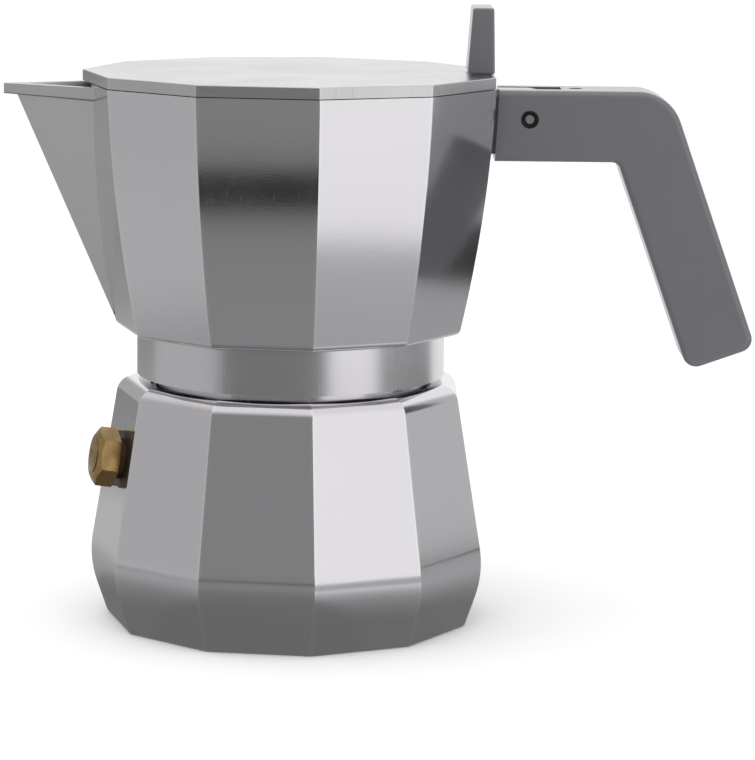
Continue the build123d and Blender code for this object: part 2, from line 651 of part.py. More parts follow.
def handle_outline():
    """Side view of the handle."""
    lean = radians(GRIP_LEAN)
    down = (sin(lean), -cos(lean))
    inward = (-cos(lean), -sin(lean))
    front_top = wall_flat(HANDLE_TOP) + HANDLE_GAP
    heel = (HANDLE_KNEE_X + GRIP_LENGTH * down[0], HANDLE_TOP + GRIP_LENGTH * down[1])
    toe = (heel[0] + GRIP_WIDTH * inward[0], heel[1] + GRIP_WIDTH * inward[1])
    climb = (HANDLE_UNDER - toe[1]) / down[1]
    throat = (toe[0] + climb * down[0], HANDLE_UNDER)
    points = [(front_top, HANDLE_TOP), (HANDLE_KNEE_X, HANDLE_TOP), heel, toe, throat,
              (front_top - HANDLE_FRONT_LEAN, HANDLE_UNDER)]
    rounds = [HANDLE_KNEE_ROUND, GRIP_HEEL_ROUND, GRIP_TOE_ROUND, GRIP_THROAT_ROUND]
    line = FilletPolyline(points, radius=rounds)
    return make_face(line + Line(line @ 1, line @ 0))


def make_handle():
    body = extrude(Plane.XZ * handle_outline(), HANDLE_WIDTH / 2, both=True)
    front = body.faces().sort_by(Axis.X)[0].center().X
    rims = [edge for face in body.faces().filter_by(Axis.Y) for edge in face.edges()]
    keep = [edge for edge in rims if edge.center().X - front > HANDLE_SOFTENING]
    body = fillet(keep, HANDLE_SOFTENING)
    side = CHEEK_OUT + BRACKET_SLIP
    body -= block((0, -side, WEB_Z - BRACKET_SLIP),
                  (BRACKET_END_X + BRACKET_SLIP, side, CHEEK_TOP + BRACKET_SLIP))
    body -= block((0, -CHEEK_IN, CHEEK_TOP), (SLOT_END_X, CHEEK_IN, HANDLE_TOP + CUT))
    body -= cross_pin(HINGE_X, HINGE_Z, HINGE_EYE, HANDLE_WIDTH)
    body -= disc(HANDLE_SCREW_HEAD_R + BRACKET_SLIP, CHEEK_TOP, HANDLE_TOP + CUT,
                 (HANDLE_SCREW_X, 0))
    return body


def make_handle_bracket():
    """Channel through the wall with two wings behind it: cheeks, web and a solid tail."""
    low = wall_flat(WEB_Z) - CHAMBER_WALL - SEAT_GAP
    high = wall_flat(CHEEK_TOP) - CHAMBER_WALL - SEAT_GAP
    wings = revolved([(low - WING_THICK, WEB_Z), (low, WEB_Z), (high, CHEEK_TOP),
                      (high - WING_THICK, CHEEK_TOP)])
    inner = low - WING_THICK * 2
    wings = wings & block((inner, -WING_HALF_WIDTH, WEB_Z), (REACH, WING_HALF_WIDTH, CHEEK_TOP))
    body = wings + block((low - WING_THICK / 2, -CHEEK_OUT, WEB_Z),
                         (BRACKET_END_X, CHEEK_OUT, CHEEK_TOP))
    body -= block((inner, -CHEEK_IN, WEB_Z + WEB_THICK),
                  (BRACKET_TAIL_X, CHEEK_IN, CHEEK_TOP + CUT))
    for place in wall_pin_places():
        body -= place * Cylinder(WALL_PIN_R + PRESS_GAP, 4 * WALL_PIN_LENGTH)
    body -= cross_pin(HINGE_X, HINGE_Z, HINGE_PIN_R + PRESS_GAP, HANDLE_WIDTH)
    body -= disc(HANDLE_SCREW_R + PRESS_GAP, WEB_Z + WEB_THICK, CHEEK_TOP + CUT,
                 (HANDLE_SCREW_X, 0))
    return body


def wall_pin_places():
    """Frames of the two pins beside the handle, each straight out of its facet."""
    places = []
    for side in (-1, 1):
        turn = radians(side * 2 * HALF_SIDE_ANGLE)
        out = Vector(cos(turn), sin(turn), 0)
        towards = Vector(sin(turn), -cos(turn), 0) * side
        foot = out * wall_flat(WALL_PIN_Z) + towards * WALL_PIN_ALONG + Vector(0, 0, WALL_PIN_Z)
        places.append(Plane(origin=foot, z_dir=out))
    return places


def make_bracket_pins(form):
    """Pins through the wall and the bracket's wings, cut flush with the facets."""
    pins = [(place * Cylinder(WALL_PIN_R, 2 * WALL_PIN_LENGTH)) & form
            for place in wall_pin_places()]
    return Compound(children=[pin.solid() for pin in pins])


def make_hinge_pin():
    pin = cross_pin(HINGE_X, HINGE_Z, HINGE_PIN_R, HANDLE_WIDTH / 2 - HINGE_PIN_SUNK)
    return chamfer(pin.edges().filter_by(GeomType.CIRCLE), HINGE_PIN_CHAMFER)


def make_handle_screw():
    """Sunk screw through the handle's roof into the tail of the bracket."""
    low = CHEEK_TOP + PRESS_GAP
    high = low + HANDLE_SCREW_HEAD
    screw = disc(HANDLE_SCREW_HEAD_R, low, high)
    screw += disc(HANDLE_SCREW_R, WEB_Z + WEB_THICK + CUT, high)
    socket = extrude(RegularPolygon(HANDLE_SCREW_SOCKET_R, 6), HANDLE_SCREW_HEAD)
    screw -= Pos(0, 0, low + HANDLE_SCREW_HEAD / 2) * socket
    return Pos(HANDLE_SCREW_X, 0, 0) * screw


def make_all():
    form = chamber_form()
    return {
        "boiler": make_boiler(),
        "valve_washer": make_valve_washer(),
        "valve_body": make_valve_body(),
        "valve_cap": make_valve_cap(),
        "valve_stem": make_valve_stem(),
        "valve_spring": make_valve_spring(),
        "funnel_bowl": make_funnel_bowl(),
        "funnel_tube": make_funnel_tube(),
        "funnel_plate": make_funnel_plate(),
        "gasket": make_gasket(),
        "filter_plate": make_filter_plate(),
        "upper_chamber": make_chamber(form),
        "coffee_column": make_coffee_column(),
        "spout": make_spout(form),
        "handle_bracket": make_handle_bracket(),
        "bracket_pins": make_bracket_pins(form),
        "handle": make_handle(),
        "handle_screw": make_handle_screw(),
        "hinge_pin": make_hinge_pin(),
        "lid": make_lid(),
        "knob": make_knob(),
        "knob_screws": make_knob_screws(),
    }


os.makedirs("parts", exist_ok=True)
for name, solid in make_all().items():
    export_step(solid, "parts/" + name + ".step")
    print(name, round(solid.volume), "cubic mm")
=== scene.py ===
# %% [markdown]
# # A faceted stove-top coffee pot
#
# The metal and plastic pieces of this pot come from a CAD model, so their sizes are
# already right. This lesson loads them, gives each one the finish that it has on a real
# pot, adds the small things that CAD left plain, such as the screw thread, and sets up
# a soft studio around them.

# %% Load the frame
import json
import math

import bpy
from mathutils import Matrix, Vector


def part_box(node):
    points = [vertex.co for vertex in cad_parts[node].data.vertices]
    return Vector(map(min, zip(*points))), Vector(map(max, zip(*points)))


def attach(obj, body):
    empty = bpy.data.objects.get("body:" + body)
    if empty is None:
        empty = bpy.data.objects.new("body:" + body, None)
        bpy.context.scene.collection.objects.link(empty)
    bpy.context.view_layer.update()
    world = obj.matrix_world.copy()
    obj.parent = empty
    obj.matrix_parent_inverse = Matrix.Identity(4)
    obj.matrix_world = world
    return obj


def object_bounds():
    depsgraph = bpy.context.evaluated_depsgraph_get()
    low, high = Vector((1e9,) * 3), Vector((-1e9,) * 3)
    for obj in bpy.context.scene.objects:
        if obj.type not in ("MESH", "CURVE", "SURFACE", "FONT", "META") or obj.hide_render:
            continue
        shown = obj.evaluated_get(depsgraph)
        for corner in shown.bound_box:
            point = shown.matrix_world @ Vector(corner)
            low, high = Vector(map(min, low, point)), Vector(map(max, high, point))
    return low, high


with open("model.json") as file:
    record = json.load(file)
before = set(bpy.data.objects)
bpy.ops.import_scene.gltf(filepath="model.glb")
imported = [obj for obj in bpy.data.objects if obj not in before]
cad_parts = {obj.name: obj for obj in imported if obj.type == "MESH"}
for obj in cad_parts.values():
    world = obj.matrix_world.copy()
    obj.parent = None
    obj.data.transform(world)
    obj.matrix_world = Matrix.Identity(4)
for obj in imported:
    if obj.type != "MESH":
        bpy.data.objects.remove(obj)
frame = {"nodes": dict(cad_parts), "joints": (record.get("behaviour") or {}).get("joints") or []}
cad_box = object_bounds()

nodes = frame["nodes"]
print("pieces from CAD:", len(nodes))
print("size in mm:", [round(1000 * (b - a), 1) for a, b in zip(*cad_box)])

# %% [markdown]
# ## Helpers for shader nodes
#
# Materials here are made of nodes. Adding each node by hand takes four or five lines, so
# one small helper adds a node, sets its values and joins its inputs. Every finish below
# is built with it.

# %% Add one node
def add(tree, kind, inputs=None, **settings):
    node = tree.nodes.new(kind)
    for name, value in settings.items():
        setattr(node, name, value)
    for key, value in (inputs or {}).items():
        if isinstance(value, bpy.types.NodeSocket):
            tree.links.new(value, node.inputs[key])
        else:
            node.inputs[key].default_value = value
    return node


# %% Do a sum, pick a tone and mix two colours
def maths(tree, operation, a, b=0.0, c=0.0, clamp=False):
    """One Math node; a, b and c are numbers or sockets."""
    return add(tree, "ShaderNodeMath", {0: a, 1: b, 2: c}, operation=operation,
               use_clamp=clamp).outputs[0]


def ramp(tree, value, stops, interpolation="LINEAR"):
    """A Color Ramp with (position, grey or colour) stops."""
    node = add(tree, "ShaderNodeValToRGB", {"Fac": value})
    node.color_ramp.interpolation = interpolation
    band = node.color_ramp.elements
    while len(band) < len(stops):
        band.new(0.5)
    for element, (place, shade) in zip(band, stops):
        element.position = place
        element.color = (*shade, 1) if isinstance(shade, tuple) else (shade, shade, shade, 1)
    return node.outputs["Color"]


def blend_colours(tree, share, a, b, mode="MIX"):
    """A colour Mix node; a and b are colours or sockets."""
    node = add(tree, "ShaderNodeMix", data_type="RGBA", blend_type=mode)
    for socket, value in ((node.inputs[0], share), (node.inputs[6], a), (node.inputs[7], b)):
        if isinstance(value, bpy.types.NodeSocket):
            tree.links.new(value, socket)
        elif isinstance(value, tuple):
            socket.default_value = (*value, 1)
        else:
            socket.default_value = value
    return node.outputs[2]


print("helpers ready")

# %% [markdown]
# ## Shared effects
#
# Polished metal is never perfect. The buffing wheel leaves fine parallel lines, fingers
# leave soft cloudy marks, use leaves scratches, and the ridges between the facets get
# worn bright. Several metals on this pot show the same effects, so each one is a node
# group, built once and placed in each material with its own values.

# %% A node group with named inputs and outputs
def group(name, inputs, outputs):
    tree = bpy.data.node_groups.new(name, "ShaderNodeTree")
    for label, kind, value in inputs:
        socket = tree.interface.new_socket(name=label, in_out="INPUT", socket_type=kind)
        if value is not None:
            socket.default_value = value
    for label, kind in outputs:
        tree.interface.new_socket(name=label, in_out="OUTPUT", socket_type=kind)
    source = tree.nodes.new("NodeGroupInput").outputs
    result = tree.nodes.new("NodeGroupOutput").inputs
    return tree, source, result


FLOAT = "NodeSocketFloat"
VECTOR = "NodeSocketVector"

# %% Brushing: fine lines drawn out along one direction
brushing, source, result = group(
    "brushing",
    [("Place", VECTOR, None), ("Stretch", VECTOR, (300.0, 300.0, 300.0)), ("Detail", FLOAT, 4.0)],
    [("Lines", FLOAT)])
stretched = add(brushing, "ShaderNodeVectorMath", {0: source["Place"], 1: source["Stretch"]},
                operation="MULTIPLY").outputs[0]
lines = add(brushing, "ShaderNodeTexNoise",
            {"Vector": stretched, "Scale": 1.0, "Detail": source["Detail"], "Roughness": 0.62})
brushing.links.new(lines.outputs["Fac"], result["Lines"])

# %% Handling: soft clouds from fingers and washing
handling, source, result = group(
    "handling", [("Place", VECTOR, None), ("Scale", FLOAT, 40.0), ("Contrast", FLOAT, 1.0)],
    [("Clouds", FLOAT)])
clouds = add(handling, "ShaderNodeTexNoise",
             {"Vector": source["Place"], "Scale": source["Scale"], "Detail": 5.0,
              "Roughness": 0.55, "Distortion": 0.4})
centred = maths(handling, "SUBTRACT", clouds.outputs["Fac"], 0.5)
scaled = maths(handling, "MULTIPLY_ADD", centred, source["Contrast"], 0.5, clamp=True)
handling.links.new(scaled, result["Clouds"])

# %% Scratches: a few thin straight marks in crossing directions
scratches, source, result = group(
    "scratches", [("Place", VECTOR, None), ("Amount", FLOAT, 0.5)], [("Marks", FLOAT)])
total = None
for turn in (0.35, 1.15, 2.3):
    turned = add(scratches, "ShaderNodeMapping",
                 {"Vector": source["Place"], "Rotation": (turn, 0.6 * turn, turn),
                  "Scale": (3000.0, 3000.0, 25.0)})
    streak = add(scratches, "ShaderNodeTexNoise",
                 {"Vector": turned.outputs[0], "Scale": 1.0, "Detail": 0.0})
    level = maths(scratches, "SUBTRACT", 0.84,
                  maths(scratches, "MULTIPLY", source["Amount"], 0.06))
    thin = maths(scratches, "GREATER_THAN", streak.outputs["Fac"], level)
    total = thin if total is None else maths(scratches, "MAXIMUM", total, thin)
scratches.links.new(total, result["Marks"])

# %% Ridges: how near a point is to one of the eleven upright edges
SIDES = 11
ridges, source, result = group(
    "ridges", [("Place", VECTOR, None), ("Width", FLOAT, 0.03)], [("Near", FLOAT)])
split = add(ridges, "ShaderNodeSeparateXYZ", {"Vector": source["Place"]})
turn = maths(ridges, "ARCTAN2", split.outputs["Y"], split.outputs["X"])
share = maths(ridges, "MULTIPLY_ADD", turn, SIDES / math.tau, SIDES + 0.5)
from_ridge = maths(ridges, "ABSOLUTE",
                   maths(ridges, "SUBTRACT", maths(ridges, "FRACT", share), 0.5))
away = maths(ridges, "SUBTRACT", 0.5, from_ridge)
fading = add(ridges, "ShaderNodeMapRange",
             {"Value": away, "From Min": 0.0, "From Max": source["Width"], "To Min": 1.0,
              "To Max": 0.0}, interpolation_type="SMOOTHSTEP")
ridges.links.new(fading.outputs["Result"], result["Near"])

# %% Band: 1 where a value is within half a width of a middle, fading out softly
band, source, result = group(
    "band", [("Value", FLOAT, 0.0), ("Middle", FLOAT, 0.0), ("Half Width", FLOAT, 0.001),
             ("Softness", FLOAT, 0.0002)], [("Inside", FLOAT)])
off = maths(band, "ABSOLUTE", maths(band, "SUBTRACT", source["Value"], source["Middle"]))
past = maths(band, "SUBTRACT", off, source["Half Width"])
inside = maths(band, "SUBTRACT", 1.0, maths(band, "DIVIDE", past, source["Softness"], clamp=True))
band.links.new(inside, result["Inside"])


def in_band(tree, value, middle, half_width, softness):
    """Places the band group and gives its mask."""
    return add(tree, "ShaderNodeGroup", {"Value": value, "Middle": middle,
                                         "Half Width": half_width, "Softness": softness},
               node_tree=band).outputs["Inside"]


print("effect groups:", [g.name for g in bpy.data.node_groups])

# %% [markdown]
# ## Polished aluminium
#
# The two bodies are cast, ground on a wheel and then buffed to a satin shine. Each facet
# mirrors the room as a soft, even tone. Fine lines run round the pot, washing has left
# faint clouds, and the ridges are a little brighter and smoother where cloths rub them.
# Metal has almost no colour of its own, so most of the work is in the roughness: it
# decides how soft the mirror image is.

# %% A metal material with lines, clouds, scratches and worn ridges
LINES_IN_TONE = 0.55           # the rest of the tone comes from the clouds
METAL_CONTRAST = 1.6
SCRATCH_ROUGHNESS = 0.06
SCRATCH_DEPTH = 0.3            # as a share of the lines' relief
RIDGE_ROUGHNESS = -0.03        # cloths rub the ridges smooth
RIDGE_COLOUR = (0.93, 0.93, 0.94)
RIDGE_SHARE = 0.5
LINE_DEPTH = 0.00008


def metal(name, colour, dark_colour, roughness, spread, stretch, scratch, worn, bump,
          clouds_scale=38.0, ridge_width=0.035):
    material = bpy.data.materials.new(name)
    material.use_nodes = True
    tree = material.node_tree
    shader = tree.nodes["Principled BSDF"]
    shader.inputs["Metallic"].default_value = 1.0
    place = add(tree, "ShaderNodeTexCoord").outputs["Object"]
    lines = add(tree, "ShaderNodeGroup", node_tree=brushing)
    lines.inputs["Stretch"].default_value = stretch
    tree.links.new(place, lines.inputs["Place"])
    cloudy = add(tree, "ShaderNodeGroup", node_tree=handling)
    cloudy.inputs["Scale"].default_value = clouds_scale
    cloudy.inputs["Contrast"].default_value = METAL_CONTRAST
    tree.links.new(place, cloudy.inputs["Place"])
    marks = add(tree, "ShaderNodeGroup", node_tree=scratches)
    marks.inputs["Amount"].default_value = scratch
    tree.links.new(place, marks.inputs["Place"])
    near = add(tree, "ShaderNodeGroup", node_tree=ridges)
    near.inputs["Width"].default_value = ridge_width
    tree.links.new(place, near.inputs["Place"])
    ridge = maths(tree, "MULTIPLY", near.outputs["Near"], worn)
    clouds_in_tone = maths(tree, "MULTIPLY", cloudy.outputs["Clouds"], 1 - LINES_IN_TONE)
    tone = maths(tree, "MULTIPLY_ADD", lines.outputs["Lines"], LINES_IN_TONE, clouds_in_tone,
                 clamp=True)
    body_colour = blend_colours(tree, tone, dark_colour, colour)
    brighter = blend_colours(tree, maths(tree, "MULTIPLY", ridge, RIDGE_SHARE), body_colour,
                             RIDGE_COLOUR)
    tree.links.new(brighter, shader.inputs["Base Color"])
    base = maths(tree, "MULTIPLY_ADD", cloudy.outputs["Clouds"], -spread, roughness + spread / 2)
    lined = maths(tree, "MULTIPLY_ADD", lines.outputs["Lines"], spread,
                  maths(tree, "SUBTRACT", base, spread / 2))
    marked = maths(tree, "MULTIPLY_ADD", marks.outputs["Marks"], SCRATCH_ROUGHNESS, lined)
    worn_off = maths(tree, "MULTIPLY_ADD", ridge, RIDGE_ROUGHNESS, marked, clamp=True)
    tree.links.new(worn_off, shader.inputs["Roughness"])
    height = maths(tree, "MULTIPLY_ADD", marks.outputs["Marks"], -SCRATCH_DEPTH,
                   lines.outputs["Lines"])
    relief = add(tree, "ShaderNodeBump",
                 {"Height": height, "Strength": bump, "Distance": LINE_DEPTH})
    tree.links.new(relief.outputs["Normal"], shader.inputs["Normal"])
    return material


def socket_of(material, name):
    """What is joined to one input of a material's shader."""
    shader = material.node_tree.nodes["Principled BSDF"]
    return shader.inputs[name].links[0].from_socket


# %% The metals of the pot
satin = metal("satin_aluminium", colour=(0.79, 0.772, 0.797), dark_colour=(0.75, 0.733, 0.757),
              roughness=0.115, spread=0.05, stretch=(500.0, 500.0, 3200.0), scratch=0.35,
              worn=0.6, bump=0.04)
brushed = metal("brushed_lid_aluminium", colour=(0.76, 0.75, 0.76), dark_colour=(0.52, 0.51, 0.52),
                roughness=0.25, spread=0.10, stretch=(60.0, 60.0, 5200.0), scratch=0.2,
                worn=0.3, bump=0.45)
cast = metal("cast_aluminium", colour=(0.70, 0.70, 0.70), dark_colour=(0.62, 0.62, 0.625),
             roughness=0.40, spread=0.10, stretch=(900.0, 900.0, 900.0), scratch=0.3,
             worn=0.0, bump=0.3)
# Painted shade: a darker copy of the cast aluminium, for the handle bracket, which sits in shade
# against the wall.
shaded_cast_metal = metal("cast_aluminium_painted_shade", colour=(0.40, 0.40, 0.40),
                  dark_colour=(0.28, 0.28, 0.28), roughness=0.55, spread=0.10,
                  stretch=(900.0, 900.0, 900.0), scratch=0.3, worn=0.0, bump=0.3)
pressed = metal("pressed_aluminium", colour=(0.80, 0.80, 0.80), dark_colour=(0.70, 0.70, 0.70),
                roughness=0.32, spread=0.08, stretch=(300.0, 300.0, 1200.0), scratch=0.5,
                worn=0.0, bump=0.3)
steel = metal("turned_steel", colour=(0.62, 0.61, 0.60), dark_colour=(0.45, 0.44, 0.43),
              roughness=0.28, spread=0.10, stretch=(2500.0, 500.0, 2500.0), scratch=0.4,
              worn=0.0, bump=0.3)
brass = metal("aged_brass", colour=(0.62, 0.41, 0.18), dark_colour=(0.24, 0.145, 0.05),
              roughness=0.28, spread=0.14, stretch=(900.0, 900.0, 900.0), scratch=0.6,
              worn=0.0, bump=0.4, clouds_scale=220.0)
# Painted shade: a darker copy of the brass for the valve washer, which lies in shade behind the
# hex; it is also rougher.
dull_brass = metal("dull_brass", colour=(0.32, 0.22, 0.12), dark_colour=(0.14, 0.09, 0.05),
                   roughness=0.50, spread=0.14, stretch=(900.0, 900.0, 900.0), scratch=0.6,
                   worn=0.0, bump=0.4, clouds_scale=220.0)
metals = (satin, brushed, cast, shaded_cast_metal, pressed, steel, brass, dull_brass)
print("metals:", [material.name for material in metals])

# %% [markdown]
# ## What differs from place to place on the bodies
#
# The collar is turned on a lathe and not buffed, so its mirror image is softer. The
# pocket round the valve is milled and never buffed, and its floor is painted dark brown
# as painted shade. Both are masks on Object coordinates over the same satin finish. The
# spout is a casting, and a dark line painted under its lip is painted shade.

# %% Softer collar
COLLAR_MIDDLE, COLLAR_HALF = 0.0662, 0.0058
COLLAR_FADE = 0.0004
COLLAR_ROUGHNESS = 0.13        # on top of that of the satin finish
tree = satin.node_tree
shader = tree.nodes["Principled BSDF"]
place = add(tree, "ShaderNodeTexCoord").outputs["Object"]
height = add(tree, "ShaderNodeSeparateXYZ", {"Vector": place}).outputs["Z"]
collar = in_band(tree, height, COLLAR_MIDDLE, COLLAR_HALF, COLLAR_FADE)
turned_rough = maths(tree, "MULTIPLY_ADD", collar, COLLAR_ROUGHNESS,
                     socket_of(satin, "Roughness"))
print("collar between", [round(1000 * (COLLAR_MIDDLE + part * COLLAR_HALF), 1)
                         for part in (-1, 1)], "mm")

# %% Pocket floor painted dark brown as painted shade, near the valve and below the surface of the facet
POCKET_REACH = 0.0140          # from the middle of the valve
POCKET_FRONT = 0.0114          # how far the pocket goes towards the front
POCKET_FLOOR_HALF, POCKET_FLOOR_FADE = 0.0003, 0.0002
WASHER_HALF_THICK = 0.00085
MILLED_FLOOR_ROUGHNESS = 0.35
POCKET_SHADE_COLOUR = (0.17, 0.13, 0.105)
washer_low, washer_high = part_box("valve_washer")
lift = next(joint for joint in frame["joints"] if joint["name"] == "valve_lift")
out = Vector(lift["axis"]).normalized()
on_floor = Vector((washer_low + washer_high) / 2) - out * WASHER_HALF_THICK
depth = add(tree, "ShaderNodeVectorMath", {0: place, 1: tuple(out)},
            operation="DOT_PRODUCT").outputs["Value"]
floor_level = in_band(tree, depth, on_floor.dot(out), POCKET_FLOOR_HALF,
                      POCKET_FLOOR_FADE)
from_valve = add(tree, "ShaderNodeVectorMath", {0: place, 1: tuple(on_floor)},
                 operation="SUBTRACT").outputs[0]
distance = add(tree, "ShaderNodeVectorMath", {0: from_valve}, operation="LENGTH").outputs["Value"]
front = Vector((-out.y, out.x, 0)).normalized()
forward = add(tree, "ShaderNodeVectorMath", {0: from_valve, 1: tuple(front)},
              operation="DOT_PRODUCT").outputs["Value"]
in_pocket = maths(tree, "MULTIPLY", maths(tree, "LESS_THAN", distance, POCKET_REACH),
                  maths(tree, "LESS_THAN", forward, POCKET_FRONT))
# Painted shade: the pocket floor is coloured dark brown, standing in for the shade behind the
# valve; the same mask makes the milled floor rougher.
shaded_milled_floor = maths(tree, "MULTIPLY", floor_level, in_pocket)
tree.links.new(maths(tree, "MULTIPLY_ADD", shaded_milled_floor, MILLED_FLOOR_ROUGHNESS, turned_rough),
               shader.inputs["Roughness"])
tree.links.new(blend_colours(tree, shaded_milled_floor, socket_of(satin, "Base Color"), POCKET_SHADE_COLOUR),
               shader.inputs["Base Color"])
print("pocket floor at", [round(1000 * v, 2) for v in on_floor])

# %% Painted shade under the lip of the spout
spout_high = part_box("spout")[1]
GROOVE_DROP = 0.0030           # from the top of the spout, at the groove's start
GROOVE_RISE = 0.0265           # slope of the groove, up towards the tip
GROOVE_START = 0.04885         # from the pot's axis
GROOVE_HALF, GROOVE_FADE = 0.00012, 0.00022
LIP_SHADE_SHARE = 0.75            # share of the painted shade's colour
LIP_SHADE_COLOUR = (0.10, 0.095, 0.10)
tree = cast.node_tree
shader = tree.nodes["Principled BSDF"]
split = add(tree, "ShaderNodeSeparateXYZ",
            {"Vector": add(tree, "ShaderNodeTexCoord").outputs["Object"]})
levelled = maths(tree, "MULTIPLY_ADD", split.outputs["X"], GROOVE_RISE, split.outputs["Z"])
groove_level = spout_high[2] - GROOVE_DROP - GROOVE_RISE * GROOVE_START
in_groove = in_band(tree, levelled, groove_level, GROOVE_HALF, GROOVE_FADE)
groove = maths(tree, "MULTIPLY", in_groove,
               maths(tree, "LESS_THAN", split.outputs["X"], spout_high[0]))
# Painted shade: the band under the lip is darkened towards near black, standing in for the shadow
# that the lip casts.
tree.links.new(blend_colours(tree, maths(tree, "MULTIPLY", groove, LIP_SHADE_SHARE),
                             socket_of(cast, "Base Color"), LIP_SHADE_COLOUR),
               shader.inputs["Base Color"])
print("groove height in mm, carried on to the axis:", round(1000 * groove_level, 2))

# %% [markdown]
# ## Grey plastic and silicone
#
# Handle and knob are moulded from a hard, heat-proof plastic. The mould is finely
# blasted, so the surface is an even matte with a very small grain, a little smoother
# where the hand has been. The gasket is soft silicone, off-white, with a dusty sheen.

# %% A moulded material with clouds, grain and scratches
MOULDED_CLOUDS, MOULDED_CONTRAST = 30.0, 1.8
MOULDED_SCRATCHES = 0.35
GRAIN_IN_TONE = 0.3            # the rest of the tone comes from the clouds
HANDLED_ROUGHNESS = 0.12       # between the least and the most handled place
GRAIN_DISTANCE = 0.00006


def moulded(name, colour, worn_colour, roughness, grain_size, grain_depth):
    material = bpy.data.materials.new(name)
    material.use_nodes = True
    tree = material.node_tree
    shader = tree.nodes["Principled BSDF"]
    place = add(tree, "ShaderNodeTexCoord").outputs["Object"]
    cloudy = add(tree, "ShaderNodeGroup", node_tree=handling)
    cloudy.inputs["Scale"].default_value = MOULDED_CLOUDS
    cloudy.inputs["Contrast"].default_value = MOULDED_CONTRAST
    tree.links.new(place, cloudy.inputs["Place"])
    grain = add(tree, "ShaderNodeTexNoise",
                {"Vector": place, "Scale": grain_size, "Detail": 3.0, "Roughness": 0.6})
    marks = add(tree, "ShaderNodeGroup", node_tree=scratches)
    marks.inputs["Amount"].default_value = MOULDED_SCRATCHES
    tree.links.new(place, marks.inputs["Place"])
    clouds_in_tone = maths(tree, "MULTIPLY", cloudy.outputs["Clouds"], 1 - GRAIN_IN_TONE)
    tone = maths(tree, "MULTIPLY_ADD", grain.outputs["Fac"], GRAIN_IN_TONE, clouds_in_tone)
    body_colour = blend_colours(tree, tone, colour, worn_colour)
    marked = blend_colours(tree, maths(tree, "MULTIPLY", marks.outputs["Marks"], 0.25),
                           body_colour, worn_colour)
    tree.links.new(marked, shader.inputs["Base Color"])
    rough = maths(tree, "MULTIPLY_ADD", cloudy.outputs["Clouds"], -HANDLED_ROUGHNESS,
                  roughness + HANDLED_ROUGHNESS / 2)
    tree.links.new(rough, shader.inputs["Roughness"])
    relief = add(tree, "ShaderNodeBump",
                 {"Height": grain.outputs["Fac"], "Strength": grain_depth,
                  "Distance": GRAIN_DISTANCE})
    tree.links.new(relief.outputs["Normal"], shader.inputs["Normal"])
    return material


# %% Plastic of the handle and the knob, and silicone of the gasket
grey_plastic = moulded("grey_plastic", colour=(0.108, 0.105, 0.118),
                       worn_colour=(0.124, 0.121, 0.135), roughness=0.40, grain_size=3200.0,
                       grain_depth=0.35)
plastic_shader = grey_plastic.node_tree.nodes["Principled BSDF"]
plastic_shader.inputs["Coat Weight"].default_value = 1.0
plastic_shader.inputs["Coat Roughness"].default_value = 0.22
silicone = moulded("silicone", colour=(0.78, 0.77, 0.73), worn_colour=(0.70, 0.69, 0.65),
                   roughness=0.60, grain_size=1500.0, grain_depth=0.3)
print("moulded:", grey_plastic.name, silicone.name)

# %% Painted shade in the ring round the end of the hinge pin
EYE_MIDDLE, EYE_REACH = 0.0010, 0.00112
EYE_FADE = 0.00012
EYE_SHADE_COLOUR = (0.006, 0.006, 0.007)
pin_low, pin_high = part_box("hinge_pin")
pin_middle = (pin_low + pin_high) / 2
tree = grey_plastic.node_tree
centred = add(tree, "ShaderNodeVectorMath",
              {0: add(tree, "ShaderNodeTexCoord").outputs["Object"], 1: tuple(pin_middle)},
              operation="SUBTRACT").outputs[0]
flattened = add(tree, "ShaderNodeVectorMath", {0: centred, 1: (1.0, 0.0, 1.0)},
                operation="MULTIPLY").outputs[0]
from_pin = add(tree, "ShaderNodeVectorMath", {0: flattened}, operation="LENGTH").outputs["Value"]
# Painted shade: a near-black ring is painted round the pin's end, standing in for the shade inside
# the recess there.
painted_shade = in_band(tree, from_pin, EYE_MIDDLE, EYE_REACH, EYE_FADE)
tree.links.new(blend_colours(tree, painted_shade, socket_of(grey_plastic, "Base Color"), EYE_SHADE_COLOUR),
               plastic_shader.inputs["Base Color"])
print("grime round the pin out to", round(1000 * (EYE_MIDDLE + EYE_REACH), 2), "mm")

# %% [markdown]
# ## Give every CAD piece its finish
#
# A CAD piece has one material slot. Its shape is right already, so it only needs the
# finish put into that slot.

# %% Assign the finishes
finishes = {
    satin: ["boiler", "upper_chamber"],
    brushed: ["lid"],
    cast: ["spout", "coffee_column"],
    shaded_cast_metal: ["handle_bracket"],
    pressed: ["funnel_bowl", "funnel_tube", "funnel_plate", "filter_plate", "bracket_pins"],
    steel: ["hinge_pin", "handle_screw", "knob_screws", "valve_spring"],
    brass: ["valve_body", "valve_cap", "valve_stem"],
    dull_brass: ["valve_washer"],
    grey_plastic: ["handle", "knob"],
    silicone: ["gasket"],
}
for material, names in finishes.items():
    for name in names:
        mesh = nodes[name].data
        mesh.materials.clear()
        mesh.materials.append(material)
print("finished:", sum(len(names) for names in finishes.values()), "of", len(nodes))

# %% [markdown]
# ## Screw thread
#
# The neck of the boiler and the collar of the chamber are screwed together. A thread is
# one rib that winds round and climbs by the pitch each turn. CAD leaves it plain. Here
# the outline of the rib is drawn once as a small flat shape, and the Screw modifier
# winds it round, which is much quicker than modelling the turns. The collar's rib points
# inwards and sits half a pitch higher, so it runs between the turns of the neck's rib.

# %% Wind one thread
PITCH = 0.003
RIB_HALF = 0.00065
RIB_TIP = 0.3                  # height of the rib's tip, as a share of its root
TURN_STEPS = 72
neck_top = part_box("boiler")[1][2]


def near(value, target, reach=1e-5):
    return abs(value - target) < reach


